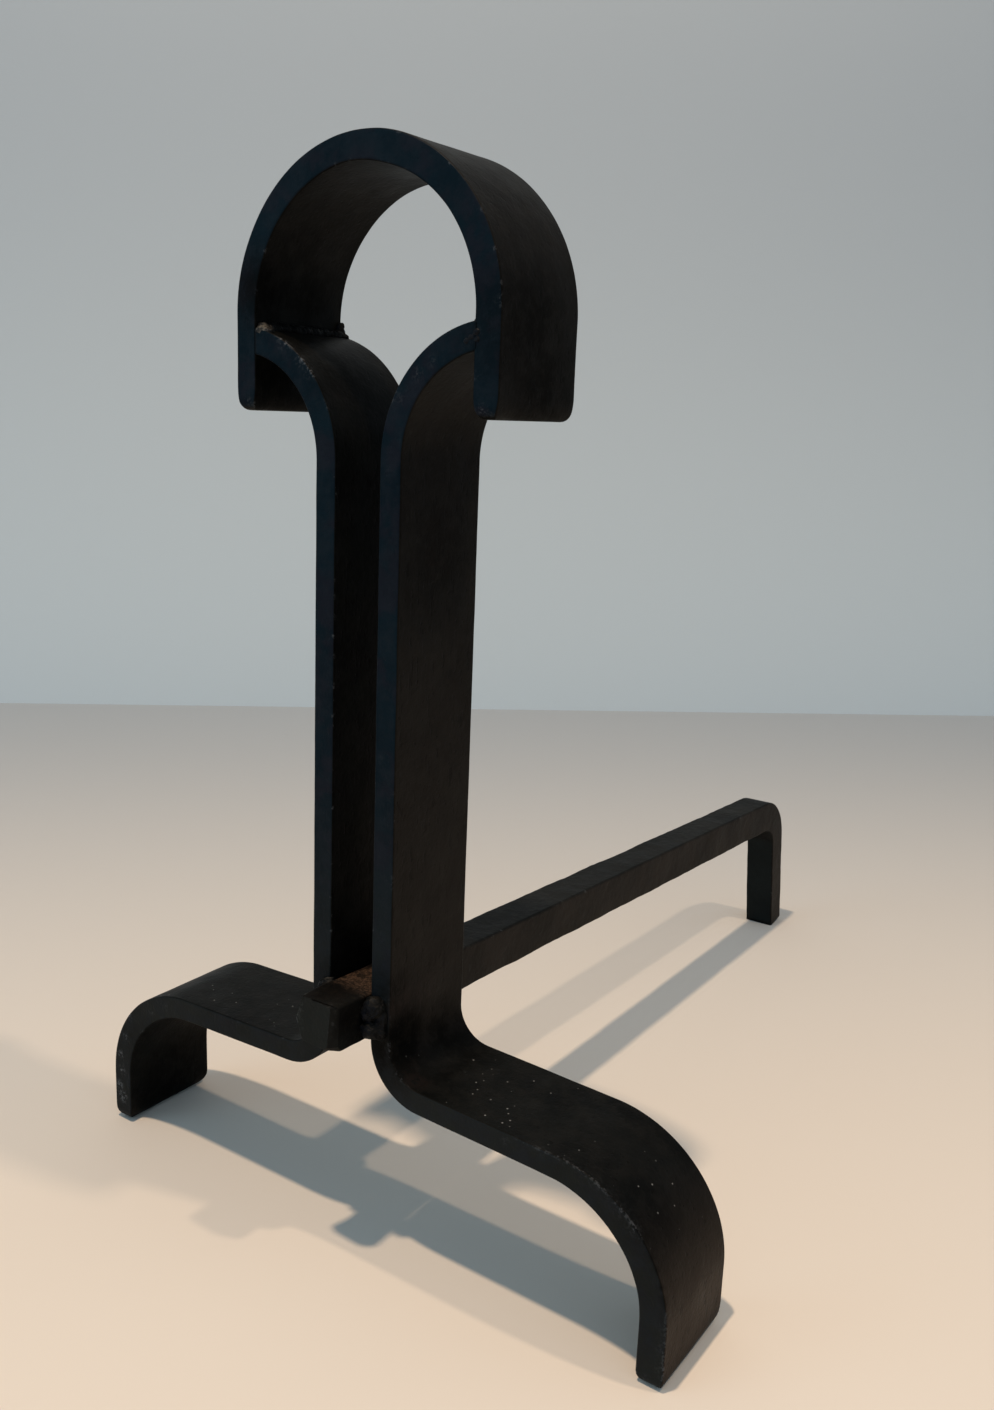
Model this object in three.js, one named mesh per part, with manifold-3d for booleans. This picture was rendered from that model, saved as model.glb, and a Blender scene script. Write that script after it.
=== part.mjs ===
// Andiron (fire dog): an arch, two bent uprights and a log bar, welded into one frame.
// Millimetres, +X right, +Y back, +Z up. The origin is on the floor, midway between the two front
// feet and midway between the log bar's nose and its heel.
import * as THREE from 'three';
import { mergeVertices } from 'three/addons/utils/BufferGeometryUtils.js';
import Module from 'manifold-3d';

const wasm = await Module();
wasm.setup();

const degrees = THREE.MathUtils.degToRad;

// ---- Bar stock ----
const FLAT_WIDTH = 50; // flat bar of the arch and the uprights, front to back
const FLAT_THICKNESS = 10;
const SQUARE_BAR = 20; // side of the log bar
const ROLLED_EDGE = 1; // broken edge along every bar
const GROUND_END = 3; // rounding of a flat bar's cut end, from face to face

// ---- Overall ----
const OVERALL_DEPTH = 480; // nose of the log bar to the heel of its leg
const FOOT_SPAN = 303; // outer face to outer face of the front feet
const LOG_REST_HEIGHT = 115.5; // top of the log bar where it enters the uprights
const ARCH_CENTRE_HEIGHT = 381; // centre of the arch's half circle

// ---- Arch ----
const ARCH_INNER_RADIUS = 53;
const ARCH_LEG_LENGTH = 36; // straight legs below the half circle
const ARCH_LEG_FRONT_CORNER = 4; // rounding of the legs' lower corners
const ARCH_LEG_REAR_CORNER = 4.5;

// ---- Uprights ----
const CURL_RADIUS = 40; // hollow side of the top curl
const CURL_DROP = 4; // top of the curl's tip, below the arch's centre
const LOWER_BEND_RADIUS = 15.5; // hollow side
const FOOT_BEND_RADIUS = 42.5; // hollow side
const FOOT_SLOPE = degrees(1.9); // the stretch to the foot falls outward
const FOOT_FRONT_CORNER = 4; // rounding of the foot's lower corners
const FOOT_REAR_CORNER = 7.5;

// ---- Log bar ----
const NOSE_LENGTH = 20.5; // how far the bar stands out in front of the uprights
const NOSE_CHAMFER = 3.5;
const BAR_FALL = degrees(2.6); // the bar falls to the rear
const HEEL_BEND_RADIUS = 16; // hollow side of the bend to the rear leg
const LEG_SPLAY = degrees(9); // the rear leg leans back
const LEG_DEPTH = 16.5; // the bar is drawn down at the bend: front to back
const LEG_WIDTH = 18.5; // and side to side

// ---- Joints ----
const ROOT_GAP = 0.9; // between the log bar's sides and the uprights
const WELD_SEAT = 0.3; // clearance of a bead, and of a curl's tip, to what it sits on
const BAR_BEAD_LEG = 8; // beads in the corners of the log bar and the uprights
const ARCH_BEAD_LEG = 6.5; // beads on top of the curls, along the arch
const ARCH_BEAD_RISE = 3.5; // and up the arch
const CROWN_FULLNESS = 0.66; // 0.5 is a flat bead, 1 a square one
const RIPPLE_PITCH = 4.5;
const RIPPLE_HEIGHT = 0.08; // share of a bead's size that its ripples take
const BEAD_END = 0.6; // size of a bead at its two ends

// ---- Facets ----
const ARC_FACETS = 20; // to each bend
const CORNER_FACETS = 6; // to each rounded corner
const BEAD_FACETS = 5; // to a bead's crown
const SLICES_PER_RIPPLE = 4;
const OVERCUT = 5; // how far a cutter stands outside the work

// ---- Worked out from the sizes above ----
const noseY = -OVERALL_DEPTH / 2;
const heelY = OVERALL_DEPTH / 2;
const uprightFrontY = noseY + NOSE_LENGTH;
const uprightBackY = uprightFrontY + FLAT_WIDTH;
const uprightMiddleY = uprightFrontY + FLAT_WIDTH / 2;
const gapHalf = SQUARE_BAR / 2 + ROOT_GAP;

// ---- Finish ----
function paint(color, roughness) {
  return new THREE.MeshStandardMaterial({ color, roughness, metalness: 0.3 });
}

function piece(name, geometry, color, roughness) {
  const mesh = new THREE.Mesh(geometry, paint(color, roughness));
  mesh.name = name;
  return mesh;
}

const BAR_BLACK = 0x1f1d1b;
const LOG_BAR_BLACK = 0x252220;
const WELD_DARK = 0x2b2622;
const BAR_ROUGHNESS = 0.55;
const WELD_ROUGHNESS = 0.75;

// ---- Cutting ----
function toSolid(geometry) {
  const bare = geometry.clone();
  bare.deleteAttribute('normal');
  bare.deleteAttribute('uv');
  const joined = mergeVertices(bare);
  return new wasm.Manifold(new wasm.Mesh({
    numProp: 3,
    vertProperties: joined.attributes.position.array,
    triVerts: new Uint32Array(joined.index.array),
  }));
}

function toGeometry(solid) {
  const mesh = solid.getMesh();
  const geometry = new THREE.BufferGeometry();
  geometry.setAttribute('position', new THREE.BufferAttribute(mesh.vertProperties, 3));
  geometry.setIndex(new THREE.BufferAttribute(mesh.triVerts, 1));
  geometry.computeVertexNormals();
  return geometry;
}

// The same body on the other side of the middle plane, with its faces still pointing out.
function mirrored(geometry) {
  return toGeometry(toSolid(geometry).mirror([1, 0, 0]));
}

// Extrudes an outline with its long edges broken, centred on the outline's own plane.
function rolledBar(outline, width) {
  const geometry = new THREE.ExtrudeGeometry(outline, {
    depth: width - 2 * ROLLED_EDGE,
    bevelThickness: ROLLED_EDGE,
    bevelSize: ROLLED_EDGE,
    bevelOffset: -ROLLED_EDGE,
    bevelSegments: 1,
    curveSegments: ARC_FACETS,
  });
  return geometry.translate(0, 0, ROLLED_EDGE - width / 2);
}

// ---- Front frame: drawn in the front view, x right and y up, z towards the viewer ----

// Runs an outline down to the height bottom, from left to right round a bar's ground end.
function groundEnd(outline, left, right, bottom) {
  const height = bottom + GROUND_END;
  outline.absarc(left + GROUND_END, height, GROUND_END, Math.PI, 1.5 * Math.PI, false);
  outline.absarc(right - GROUND_END, height, GROUND_END, 1.5 * Math.PI, 2 * Math.PI, false);
}

// Cutter for the front corner of a flat bar's end that points down at the height bottom.
function endCornerCutter(bottom, radius) {
  const edge = FLAT_WIDTH / 2;
  const outline = new THREE.Shape();
  outline.moveTo(edge + OVERCUT, bottom - OVERCUT);
  outline.lineTo(edge + OVERCUT, bottom + radius);
  outline.absarc(edge - radius, bottom + radius, radius, 0, -Math.PI / 2, true);
  outline.lineTo(edge - radius, bottom - OVERCUT);
  const length = FOOT_SPAN + 2 * OVERCUT;
  const cutter = new THREE.ExtrudeGeometry(outline, {
    depth: length,
    bevelEnabled: false,
    curveSegments: CORNER_FACETS,
  });
  return cutter.translate(0, 0, -length / 2).rotateY(-Math.PI / 2);
}

function roundEndCorners(geometry, bottom, frontRadius, rearRadius) {
  const frontCutter = toSolid(endCornerCutter(bottom, frontRadius));
  const rearCutter = toSolid(endCornerCutter(bottom, rearRadius).rotateY(Math.PI));
  return toGeometry(toSolid(geometry).subtract(frontCutter).subtract(rearCutter));
}

const archLegBottom = ARCH_CENTRE_HEIGHT - ARCH_LEG_LENGTH;

function archGeometry() {
  const outer = ARCH_INNER_RADIUS + FLAT_THICKNESS;
  const outline = new THREE.Shape();
  groundEnd(outline, -outer, -ARCH_INNER_RADIUS, archLegBottom);
  outline.absarc(0, ARCH_CENTRE_HEIGHT, ARCH_INNER_RADIUS, Math.PI, Math.PI / 2, true);
  outline.absarc(0, ARCH_CENTRE_HEIGHT, ARCH_INNER_RADIUS, Math.PI / 2, 0, true);
  groundEnd(outline, ARCH_INNER_RADIUS, outer, archLegBottom);
  outline.absarc(0, ARCH_CENTRE_HEIGHT, outer, 0, Math.PI / 2, false);
  outline.absarc(0, ARCH_CENTRE_HEIGHT, outer, Math.PI / 2, Math.PI, false);
  const bar = rolledBar(outline, FLAT_WIDTH);
  return roundEndCorners(bar, archLegBottom, ARCH_LEG_FRONT_CORNER, ARCH_LEG_REAR_CORNER);
}

// The upright's three bends, each about its own centre. The straight run starts at the underside of
// the log bar, and the curl's tip is cut square to the arch's inner face.
const tipX = ARCH_INNER_RADIUS - WELD_SEAT;
const curlOuter = CURL_RADIUS + FLAT_THICKNESS;
const curlX = gapHalf + curlOuter;
const curlY = ARCH_CENTRE_HEIGHT - CURL_DROP - Math.sqrt(curlOuter ** 2 - (tipX - curlX) ** 2);
const lowerOuter = LOWER_BEND_RADIUS + FLAT_THICKNESS;
const lowerX = gapHalf + lowerOuter;
const lowerY = LOG_REST_HEIGHT - SQUARE_BAR;
const footOuter = FOOT_BEND_RADIUS + FLAT_THICKNESS;
const footX = FOOT_SPAN / 2 - footOuter;
const footTurn = Math.PI / 2 - FOOT_SLOPE;
// The stretch between the two lower bends touches both circles, so its length and fall follow.
const bendSum = lowerOuter + FOOT_BEND_RADIUS;
const stretch = (footX - lowerX + bendSum * Math.sin(FOOT_SLOPE)) / Math.cos(FOOT_SLOPE);
const footY = lowerY - bendSum * Math.cos(FOOT_SLOPE) - stretch * Math.sin(FOOT_SLOPE);

function uprightGeometry() {
  const lowerEnd = Math.PI + footTurn;
  const outline = new THREE.Shape();
  outline.moveTo(footX + footOuter, footY);
  outline.absarc(footX, footY, footOuter, 0, footTurn, false);
  outline.absarc(lowerX, lowerY, LOWER_BEND_RADIUS, lowerEnd, Math.PI, true);
  outline.absarc(curlX, curlY, CURL_RADIUS, Math.PI, Math.acos((tipX - curlX) / CURL_RADIUS), true);
  outline.absarc(curlX, curlY, curlOuter, Math.acos((tipX - curlX) / curlOuter), Math.PI, false);
  outline.absarc(lowerX, lowerY, lowerOuter, Math.PI, lowerEnd, false);
  outline.absarc(footX, footY, FOOT_BEND_RADIUS, footTurn, 0, true);
  groundEnd(outline, footX + FOOT_BEND_RADIUS, footX + footOuter, 0);
  const bar = rolledBar(outline, FLAT_WIDTH);
  return roundEndCorners(bar, 0, FOOT_FRONT_CORNER, FOOT_REAR_CORNER);
}

// ---- Weld beads ----

// A bead fills a corner. Its outline starts in the corner, and every slice swells and shrinks about
// that corner: ripples along the bead, and a smaller section at its two ends.
function beadGeometry(outline, corner, leg, length) {
  const ripples = Math.max(2, Math.round(length / RIPPLE_PITCH));
  const geometry = new THREE.ExtrudeGeometry(outline, {
    depth: length,
    steps: ripples * SLICES_PER_RIPPLE,
    bevelEnabled: false,
    curveSegments: BEAD_FACETS,
  });
  const position = geometry.attributes.position;
  for (let i = 0; i < position.count; i += 1) {
    const along = position.getZ(i);
    const ripple = 1 - RIPPLE_HEIGHT * Math.cos((2 * Math.PI * ripples * along) / length) ** 2;
    const fromEnd = Math.min(1, Math.min(along, length - along) / leg);
    const ease = BEAD_END + (1 - BEAD_END) * Math.sqrt(1 - (1 - fromEnd) ** 2);
    const swell = ripple * ease;
    position.setX(i, corner.x + (position.getX(i) - corner.x) * swell);
    position.setY(i, corner.y + (position.getY(i) - corner.y) * swell);
  }
  geometry.computeVertexNormals();
  return geometry.translate(0, 0, -length / 2);
}

// The crown of a bead, from its toe back to its heel, bulging away from the corner.
function crown(outline, corner, toe, heel) {
  const bulge = new THREE.Vector2(
    corner.x + (toe.x + heel.x - 2 * corner.x) * CROWN_FULLNESS,
    corner.y + (toe.y + heel.y - 2 * corner.y) * CROWN_FULLNESS,
  );
  outline.quadraticCurveTo(bulge.x, bulge.y, heel.x, heel.y);
}

// Bead between the arch's inner face and the top of the right curl, drawn in the front view.
function archBeadGeometry() {
  const seatRadius = curlOuter + WELD_SEAT;
  const cornerAngle = Math.acos((tipX - curlX) / seatRadius);
  const toeAngle = cornerAngle + ARCH_BEAD_LEG / seatRadius;
  const onSeat = (angle) => new THREE.Vector2(
    curlX + seatRadius * Math.cos(angle),
    curlY + seatRadius * Math.sin(angle),
  );
  const corner = onSeat(cornerAngle);
  const heel = new THREE.Vector2(corner.x, corner.y + ARCH_BEAD_RISE);
  const outline = new THREE.Shape();
  outline.moveTo(corner.x, corner.y);
  outline.lineTo(heel.x, heel.y);
  crown(outline, corner, heel, onSeat(toeAngle));
  outline.absarc(curlX, curlY, seatRadius, toeAngle, cornerAngle, true);
  return beadGeometry(outline, corner, ARCH_BEAD_LEG, FLAT_WIDTH);
}

// Bead in the corner of the log bar's side and an upright's edge, drawn in plan. The corner itself
// is at 0, 0; the bead lies towards +x and -y of it, and runs up along z.
function barBeadGeometry() {
  const corner = new THREE.Vector2(WELD_SEAT, -WELD_SEAT);
  const toe = new THREE.Vector2(corner.x, corner.y - BAR_BEAD_LEG);
  const heel = new THREE.Vector2(corner.x + BAR_BEAD_LEG, corner.y);
  const outline = new THREE.Shape();
  outline.moveTo(corner.x, corner.y);
  outline.lineTo(toe.x, toe.y);
  crown(outline, corner, toe, heel);
  return beadGeometry(outline, corner, BAR_BEAD_LEG, SQUARE_BAR);
}

// ---- Log bar: drawn in the side view, x backwards and y up ----

function barTopAt(y) {
  return LOG_REST_HEIGHT - (y - uprightFrontY) * Math.tan(BAR_FALL);
}

const barDrop = SQUARE_BAR / Math.cos(BAR_FALL); // height of the bar, measured plumb
const legRun = LEG_DEPTH / Math.cos(LEG_SPLAY); // depth of the leg, measured level

// Where a line of the bar, dropped below the top one, meets a line of the leg, set forward of its
// rear one.
function barMeetsLeg(dropped, forward) {
  const slope = Math.tan(BAR_FALL);
  const lean = Math.tan(LEG_SPLAY);
  const heightAtHeel = barTopAt(heelY - forward) - dropped;
  const height = heightAtHeel / (1 - slope * lean);
  return new THREE.Vector2(heelY - forward - height * lean, height);
}

// Adds the corner between two directions as an arc that touches both.
function roundCorner(outline, before, corner, after, radius) {
  const back = before.clone().sub(corner).normalize();
  const ahead = after.clone().sub(corner).normalize();
  const half = Math.acos(back.dot(ahead)) / 2;
  const middle = back.clone().add(ahead).normalize();
  const centre = corner.clone().addScaledVector(middle, radius / Math.sin(half));
  const start = corner.clone().addScaledVector(back, radius / Math.tan(half)).sub(centre);
  const end = corner.clone().addScaledVector(ahead, radius / Math.tan(half)).sub(centre);
  outline.absarc(centre.x, centre.y, radius, start.angle(), end.angle(), back.cross(ahead) > 0);
}

const outerCorner = barMeetsLeg(0, 0);
const innerCorner = barMeetsLeg(barDrop, legRun);
// The bar keeps its full width past the rear beads and is down to the leg's width at the bend.
const taperStartY = uprightBackY + BAR_BEAD_LEG + 2 * WELD_SEAT;
const taperEndY = innerCorner.x - HEEL_BEND_RADIUS;

function logBarOutline() {
  const top = (y) => new THREE.Vector2(y, barTopAt(y));
  const under = (y) => new THREE.Vector2(y, barTopAt(y) - barDrop);
  const heel = new THREE.Vector2(heelY, 0);
  const instep = new THREE.Vector2(heelY - legRun, 0);
  const outline = new THREE.Shape();
  outline.moveTo(noseY, under(noseY).y + NOSE_CHAMFER);
  outline.lineTo(noseY, top(noseY).y - NOSE_CHAMFER);
  outline.lineTo(noseY + NOSE_CHAMFER, top(noseY + NOSE_CHAMFER).y);
  outline.lineTo(taperStartY, top(taperStartY).y);
  roundCorner(outline, top(noseY), outerCorner, heel, HEEL_BEND_RADIUS + SQUARE_BAR);
  outline.lineTo(heel.x, heel.y);
  outline.lineTo(instep.x, instep.y);
  roundCorner(outline, instep, innerCorner, under(noseY), HEEL_BEND_RADIUS);
  outline.lineTo(taperStartY, under(taperStartY).y);
  outline.lineTo(noseY + NOSE_CHAMFER, under(noseY + NOSE_CHAMFER).y);
  return outline;
}

function noseCutter() {
  const side = SQUARE_BAR / 2;
  const outline = new THREE.Shape();
  outline.moveTo(side - NOSE_CHAMFER - OVERCUT, noseY - OVERCUT);
  outline.lineTo(side + OVERCUT, noseY - OVERCUT);
  outline.lineTo(side + OVERCUT, noseY + NOSE_CHAMFER + OVERCUT);
  const height = LOG_REST_HEIGHT + SQUARE_BAR;
  return new THREE.ExtrudeGeometry(outline, { depth: height, bevelEnabled: false });
}

function logBarGeometry() {
  const geometry = rolledBar(logBarOutline(), SQUARE_BAR);
  // From the side view to the bar's place: the outline's x goes back and its y goes up.
  const toPlace = new THREE.Matrix4().makeBasis(
    new THREE.Vector3(0, 1, 0),
    new THREE.Vector3(0, 0, 1),
    new THREE.Vector3(1, 0, 0),
  );
  geometry.applyMatrix4(toPlace);
  const position = geometry.attributes.position;
  for (let i = 0; i < position.count; i += 1) {
    const drawn = THREE.MathUtils.clamp(
      (position.getY(i) - taperStartY) / (taperEndY - taperStartY),
      0,
      1,
    );
    position.setX(i, position.getX(i) * THREE.MathUtils.lerp(1, LEG_WIDTH / SQUARE_BAR, drawn));
  }
  const rightCutter = toSolid(noseCutter());
  const leftCutter = rightCutter.mirror([1, 0, 0]);
  return toGeometry(toSolid(geometry).subtract(rightCutter).subtract(leftCutter));
}

// ---- Assembly ----

// The front frame stands on the floor. Its left half is the mirror image of its right half.
function frontFrame() {
  const frame = new THREE.Group();
  frame.rotation.x = Math.PI / 2;
  frame.position.y = uprightMiddleY;
  frame.add(piece('arch', archGeometry(), BAR_BLACK, BAR_ROUGHNESS));
  const upright = uprightGeometry();
  const bead = archBeadGeometry();
  frame.add(piece('right_upright', upright, BAR_BLACK, BAR_ROUGHNESS));
  frame.add(piece('left_upright', mirrored(upright), BAR_BLACK, BAR_ROUGHNESS));
  frame.add(piece('arch_weld_right', bead, WELD_DARK, WELD_ROUGHNESS));
  frame.add(piece('arch_weld_left', mirrored(bead), WELD_DARK, WELD_ROUGHNESS));
  return frame;
}

// One bead in each corner that the log bar makes with the uprights' front and rear edges.
function barWelds() {
  const welds = new THREE.Group();
  const bead = barBeadGeometry();
  const corners = [
    ['front_right', 1, uprightFrontY, 0],
    ['front_left', -1, uprightFrontY, -Math.PI / 2],
    ['rear_right', 1, uprightBackY, Math.PI / 2],
    ['rear_left', -1, uprightBackY, Math.PI],
  ];
  for (const [corner, side, y, turn] of corners) {
    const weld = piece(`bar_weld_${corner}`, bead, WELD_DARK, WELD_ROUGHNESS);
    weld.position.set((side * SQUARE_BAR) / 2, y, barTopAt(y) - SQUARE_BAR / 2);
    weld.rotation.z = turn;
    welds.add(weld);
  }
  return welds;
}

const andiron = new THREE.Group();
andiron.add(frontFrame());
andiron.add(piece('log_bar', logBarGeometry(), LOG_BAR_BLACK, BAR_ROUGHNESS));
andiron.add(barWelds());

export default andiron;
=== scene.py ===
"""Andiron: two bent flat uprights, an arch, a square log bar and their weld beads."""
import math

import bmesh
import bpy
from mathutils import Matrix, Vector, noise


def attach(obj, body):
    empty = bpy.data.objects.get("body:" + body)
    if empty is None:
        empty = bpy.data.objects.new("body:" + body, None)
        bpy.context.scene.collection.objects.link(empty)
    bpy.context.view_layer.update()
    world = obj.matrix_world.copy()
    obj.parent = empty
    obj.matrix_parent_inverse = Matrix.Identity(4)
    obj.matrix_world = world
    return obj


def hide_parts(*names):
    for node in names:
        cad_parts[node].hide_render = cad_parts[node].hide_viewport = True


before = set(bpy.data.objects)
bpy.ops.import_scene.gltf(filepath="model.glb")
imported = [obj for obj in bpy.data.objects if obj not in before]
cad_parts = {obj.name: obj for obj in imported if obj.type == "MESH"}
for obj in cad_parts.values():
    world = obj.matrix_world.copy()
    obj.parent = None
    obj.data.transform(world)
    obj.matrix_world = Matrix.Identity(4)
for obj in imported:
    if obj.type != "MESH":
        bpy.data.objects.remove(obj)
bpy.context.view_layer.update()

MM = 0.001

# ---- Sizes, in mm, as the solids have them ----
FLAT_WIDTH = 50.0
FLAT_THICKNESS = 10.0
SQUARE_BAR = 20.0
UPRIGHT_FRONT = -219.5
UPRIGHT_MIDDLE = UPRIGHT_FRONT + FLAT_WIDTH / 2
GAP_HALF = 10.9
ARCH_CENTRE = 381.0
ARCH_INNER = 53.0
ARCH_LEG = 36.0
CURL_RADIUS = 40.0
CURL_DROP = 4.0
WELD_SEAT = 0.3  # the solids' clearance between a curl's tip and the arch
LOWER_RADIUS = 15.5
FOOT_RADIUS = 42.5
FOOT_SPAN = 303.0
FOOT_SLOPE = math.radians(1.9)
LOG_REST = 115.5
NOSE = -240.0
HEEL = 240.0
BAR_FALL = math.radians(2.6)
LEG_SPLAY = math.radians(9.0)
HEEL_RADIUS = 16.0
LEG_DEPTH = 16.5
LEG_WIDTH = 19.0
FLAT_LEAD = 0.7  # the radius of the flat bars' rolled edges
SQUARE_LEAD = 1.1  # and of the square bar's

# ---- How this andiron differs from the drawn one, in mm ----
LEFT_LIFT, RIGHT_LIFT = -0.5, 1.4  # how much higher each curl was bent
TIP_CLEARANCE = 0.1  # between a curl's tip and the arch
# The arch thickens from this share of its length, and a foot this far before its end, over a reach.
ARCH_GROWS, ARCH_REACH, ARCH_THICKER, ARCH_WIDER = 0.45, 30.0, 1.1, 0.3
FOOT_GROWS, FOOT_REACH, FOOT_THICKER, FOOT_WIDER = 110.0, 50.0, 1.3, 0.2
# Ground ends: front corner, rear corner, ground length, and the depths ground off the first face
# and the other.
ARCH_ENDS = ((4.0, 3.6, 9.0, 3.2, 3.2), (4.0, 3.6, 9.0, 3.4, 3.4))
LEFT_FOOT = (5.5, 6.5, 8.0, 5.0, 4.4)
RIGHT_FOOT = (4.0, 8.5, 5.0, 3.8, 3.2)
# Unevenness of the faces: how long its waves are, and how deep.
FLAT_WAVE, FLAT_RIPPLE = (26.0, 0.16), (7.0, 0.06)
BAR_WAVE, BAR_RIPPLE = (18.0, 0.3), (5.0, 0.12)

# ---- Camera, fitted to the photograph ----
PHOTO_WIDTH, PHOTO_HEIGHT = 994, 1410
CAMERA_AT = Vector((0.31482, -0.58566, 0.34766))
CAMERA_YAW = 0.59984
CAMERA_PITCH = 0.22320
CAMERA_ROLL = 0.03731
FOCAL_PX = 1263.13
CENTRE_PX = (490.55, 699.29)
SENSOR = 36.0
NEAREST, FARTHEST = 0.01, 50.0


def camera_axes():
    """The camera's own right, up and ahead."""
    ahead = Vector((
        -math.sin(CAMERA_YAW) * math.cos(CAMERA_PITCH),
        math.cos(CAMERA_YAW) * math.cos(CAMERA_PITCH),
        -math.sin(CAMERA_PITCH),
    ))
    level = Vector((math.cos(CAMERA_YAW), math.sin(CAMERA_YAW), 0.0))
    upright = level.cross(ahead)
    right = math.cos(CAMERA_ROLL) * level + math.sin(CAMERA_ROLL) * upright
    up = math.cos(CAMERA_ROLL) * upright - math.sin(CAMERA_ROLL) * level
    return right, up, ahead


def photo_ray(px, py):
    """The way from the camera through a pixel of the photograph."""
    right, up, ahead = camera_axes()
    across = (px - CENTRE_PX[0]) / FOCAL_PX
    down = (py - CENTRE_PX[1]) / FOCAL_PX
    return (ahead + across * right - down * up).normalized()


def on_plane(px, py, axis, value):
    """The point of the plane where that axis has that value, under a pixel of the photograph."""
    ray = photo_ray(px, py)
    return CAMERA_AT + ray * ((value - CAMERA_AT[axis]) / ray[axis])


def make_camera():
    data = bpy.data.cameras.new("camera")
    data.sensor_fit = "AUTO"
    data.sensor_width = SENSOR
    data.lens = FOCAL_PX / PHOTO_HEIGHT * SENSOR
    data.shift_x = (PHOTO_WIDTH / 2 - CENTRE_PX[0]) / PHOTO_HEIGHT
    data.shift_y = (CENTRE_PX[1] - PHOTO_HEIGHT / 2) / PHOTO_HEIGHT
    data.clip_start, data.clip_end = NEAREST, FARTHEST
    camera = bpy.data.objects.new("camera", data)
    right, up, ahead = camera_axes()
    camera.matrix_world = Matrix((
        (right.x, up.x, -ahead.x, CAMERA_AT.x),
        (right.y, up.y, -ahead.y, CAMERA_AT.y),
        (right.z, up.z, -ahead.z, CAMERA_AT.z),
        (0, 0, 0, 1),
    ))
    bpy.context.scene.collection.objects.link(camera)
    bpy.context.scene.camera = camera


make_camera()


# ---- Wear and soot, with painted highlight and shade ----
# Places where the paint is worn off the front faces and off the nose, with painted highlights along
# some edges among them. Each is a pixel of the photograph, a radius in mm and a strength.
WORN_AND_HIGHLIGHT_FRONT = (
    (283, 342, 6, 0.8), (300, 360, 5, 0.9), (309, 372, 5, 0.8), (329, 404, 4, 0.4),
    (248, 402, 4, 0.8), (252, 406, 3, 0.7), (240, 300, 4, 0.3), (262, 326, 4, 0.6),
    (398, 400, 5, 0.6), (404, 392, 4, 0.5), (418, 374, 5, 0.7), (432, 361, 4, 0.6),
    (466, 342, 4, 0.5), (477, 333, 4, 0.5), (482, 410, 4, 0.9), (486, 415, 4, 0.9),
    (478, 376, 3, 0.5), (300, 225, 4, 0.4), (283, 255, 4, 0.4), (497, 300, 4, 0.4),
    (122, 1070, 4, 1.6), (126, 1037, 3, 1.8), (123, 1096, 5, 2.2), (120, 1084, 4, 1.8),
    (130, 1018, 3, 1.0), (121, 1054, 4, 1.6), (152, 1012, 3, 0.9), (166, 1007, 3, 0.8),
    (643, 1378, 5, 0.6), (663, 1330, 7, 0.4), (663, 1350, 7, 0.5), (663, 1372, 7, 0.6),
    (382, 1000, 5, 0.4), (381, 760, 3, 0.6), (322, 470, 4, 0.3), (389, 470, 4, 0.3),
    (386, 880, 6, 0.3), (318, 700, 5, 0.2), (388, 640, 5, 0.2),
    # From here to (634, 1229): a painted highlight along the right foot's upper front edge.
    (506, 1141, 3, 0.9), (522, 1145, 6, 0.25), (541, 1149, 7, 0.35), (563, 1157, 8, 0.4),
    (582, 1170, 8, 0.35), (596, 1183, 8, 0.4), (610, 1198, 8, 0.35), (621, 1212, 8, 0.4),
    (634, 1229, 6, 0.6), (388, 1050, 6, 0.3), (402, 1078, 6, 0.3),
)
# Light lines round the nose's front facet: worn paint, and a painted highlight along its left edge.
WORN_AND_HIGHLIGHT_NOSE = (
    (301, 1000, 4, 1.0), (297, 1015, 4, 1.0), (298, 1033, 4, 0.9), (304, 1044, 4, 1.0),
    (314, 1050, 4, 1.0), (325, 1050, 4, 0.9), (328, 1012, 3, 0.8), (328, 1030, 3, 0.8),
    (330, 1006, 3, 0.9),
)
# Soot, and painted shade where shade falls: inside the arch's left side, on the left foot's inner
# face and on the log bar's right side by its nose. Each is a pixel, the axis and the value of the
# plane that it lies on, a radius and a strength.
SOOT_AND_SHADE_FACES = (
    (440, 1032, 0, 21, 22, 1.0), (402, 1042, 0, 21, 24, 1.3), (400, 985, 0, 21, 10, 0.5),
    (437, 560, 0, 21, 34, 0.5), (530, 330, 0, 63, 34, 0.8), (545, 390, 0, 63, 30, 0.9),
    (470, 1070, 2, 72, 22, 0.7), (436, 1084, 2, 71, 18, 1.0),
    (140, 1050, 1, UPRIGHT_FRONT, 26, 0.4),
    (330, 990, 2, 116, 20, 1.0), (318, 996, 2, 116, 12, 1.0), (347, 1018, 0, 10, 13, 1.0),
    (386, 992, 1, UPRIGHT_FRONT, 13, 0.5),
    (172, 1075, 0, -141.5, 34, 0.9), (150, 1090, 0, -141.5, 16, 0.8),
    (270, 290, 0, -52.6, 24, 1.0), (305, 300, 0, -52.6, 20, 0.8), (290, 240, 0, -52.6, 18, 0.5),
    (315, 345, 2, 366, 24, 0.7), (345, 378, 0, -21, 24, 0.6),
    (672, 1215, 0, 146, 26, 0.6), (640, 1185, 0, 138, 22, 0.4),
    (646, 1243, 1, UPRIGHT_FRONT, 2.6, 1.0), (653, 1257, 1, UPRIGHT_FRONT, 2.6, 1.2),
    (659, 1272, 1, UPRIGHT_FRONT, 2.6, 1.2), (663, 1287, 1, UPRIGHT_FRONT, 2.6, 1.2),
    (665, 1303, 1, UPRIGHT_FRONT, 2.6, 1.0), (667, 1320, 1, UPRIGHT_FRONT, 2.4, 0.8),
)
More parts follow.
